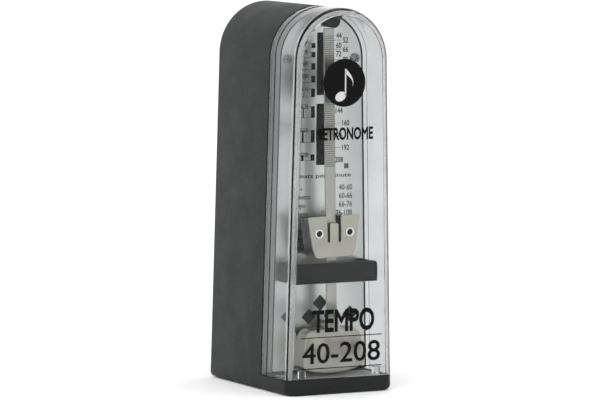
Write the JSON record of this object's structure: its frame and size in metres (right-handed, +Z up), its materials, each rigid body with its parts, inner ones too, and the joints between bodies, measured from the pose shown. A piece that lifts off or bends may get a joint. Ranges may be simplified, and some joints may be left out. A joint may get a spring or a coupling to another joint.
{
  "type": "wind-up pendulum metronome",
  "caption": "Compact mechanical metronome: arched textured case, clear lift-off front cover, scale plate, swinging rod with sliding weight, and a side winding key.",
  "frame": {"origin": "middle of the rubber pad under the base, level with the feet", "axes": "+Z up, +X to the right of a person who faces the scale, -Y out of the front"},
  "size_m": [0.0586, 0.07, 0.16],
  "materials": {
    "case_plastic": "fine grained dark grey moulded plastic",
    "black_plastic": "smooth black moulded plastic",
    "clear_plastic": "clear polystyrene, polished, with black printing on the front",
    "silver_plastic": "smooth light silver-grey moulded plastic",
    "silver_plate": "satin silver sheet with a printed scale",
    "nickel": "warm nickel plate, lightly brushed",
    "steel": "bright turned steel",
    "brass": "lightly grained brass",
    "rubber": "soft black rubber"
  },
  "bodies": {
    "case": {"case_shell": "case_plastic", "base_lid": "black_plastic", "base_pad": "rubber", "foot_front_left": "rubber", "foot_front_right": "rubber", "foot_rear_left": "rubber", "foot_rear_right": "rubber", "base_screw_front_left": "steel", "base_screw_front_right": "steel", "base_screw_rear_left": "steel", "base_screw_rear_right": "steel", "front_frame": "silver_plastic", "scale_plate": "silver_plate", "plate_screw_left": "steel", "plate_screw_right": "steel", "rod_catch": "black_plastic", "pivot_bridge": "black_plastic", "bridge_screw_left": "steel", "bridge_screw_right": "steel", "movement_plate_left": "brass", "movement_plate_right": "brass", "movement_pillar_1": "brass", "movement_pillar_2": "brass", "movement_pillar_3": "brass", "movement_pillar_4": "brass", "rear_bearing_bridge": "brass", "rear_bush": "brass", "escape_potence": "brass", "click_pin": "steel", "click_spring": "steel"},
    "cover": {"cover": "clear_plastic"},
    "pendulum": {"pendulum_rod": "nickel", "pendulum_bob": "nickel", "pendulum_hub": "brass", "pendulum_arbor": "steel", "pallets": "steel"},
    "sliding_weight": {"weight_plate": "nickel", "weight_clip": "nickel", "weight_eyelet_left": "nickel", "weight_eyelet_right": "nickel", "weight_spring": "steel"},
    "winding_key": {"winding_key": "black_plastic", "barrel_arbor": "steel", "ratchet_wheel": "steel"},
    "barrel": {"mainspring_barrel": "brass", "barrel_cap": "brass", "mainspring": "steel"},
    "click": {"click": "steel"},
    "intermediate": {"intermediate_arbor": "steel", "intermediate_pinion": "steel", "intermediate_wheel": "brass"},
    "escape": {"escape_arbor": "steel", "escape_pinion": "steel", "escape_wheel": "brass"}
  },
  "joints": [
    {"name": "cover_slide", "type": "slide", "parent": "case", "child": "cover", "axis": [0, -1, 0], "range_m": [0, 0.09]},
    {"name": "pendulum_swing", "type": "hinge", "parent": "case", "child": "pendulum", "pos_m": [0, 0, 0.05], "axis": [0, 1, 0], "range_deg": [-5.6, 8]},
    {"name": "weight_slide", "type": "slide", "parent": "pendulum", "child": "sliding_weight", "axis": [-0.0209, 0, 0.9998], "range_m": [0, 0.074]},
    {"name": "key_turn", "type": "hinge", "parent": "case", "child": "winding_key", "pos_m": [0, 0.011, 0.086], "axis": [1, 0, 0], "continuous": true},
    {"name": "barrel_turn", "type": "hinge", "parent": "case", "child": "barrel", "pos_m": [0, 0.011, 0.086], "axis": [1, 0, 0], "continuous": true},
    {"name": "click_swing", "type": "hinge", "parent": "case", "child": "click", "pos_m": [0, 0.02, 0.08], "axis": [-1, 0, 0], "range_deg": [0, 12], "stiffness_Nm_per_rad": 0.002},
    {"name": "intermediate_turn", "type": "hinge", "parent": "case", "child": "intermediate", "pos_m": [0, 0.011, 0.065], "axis": [1, 0, 0], "continuous": true},
    {"name": "escape_turn", "type": "hinge", "parent": "case", "child": "escape", "pos_m": [0, 0.011, 0.05], "axis": [1, 0, 0], "continuous": true}
  ],
  "couplings": [
    {"joint": "intermediate_turn", "follows": "barrel_turn", "ratio": -6},
    {"joint": "escape_turn", "follows": "barrel_turn", "ratio": 30}
  ]
}
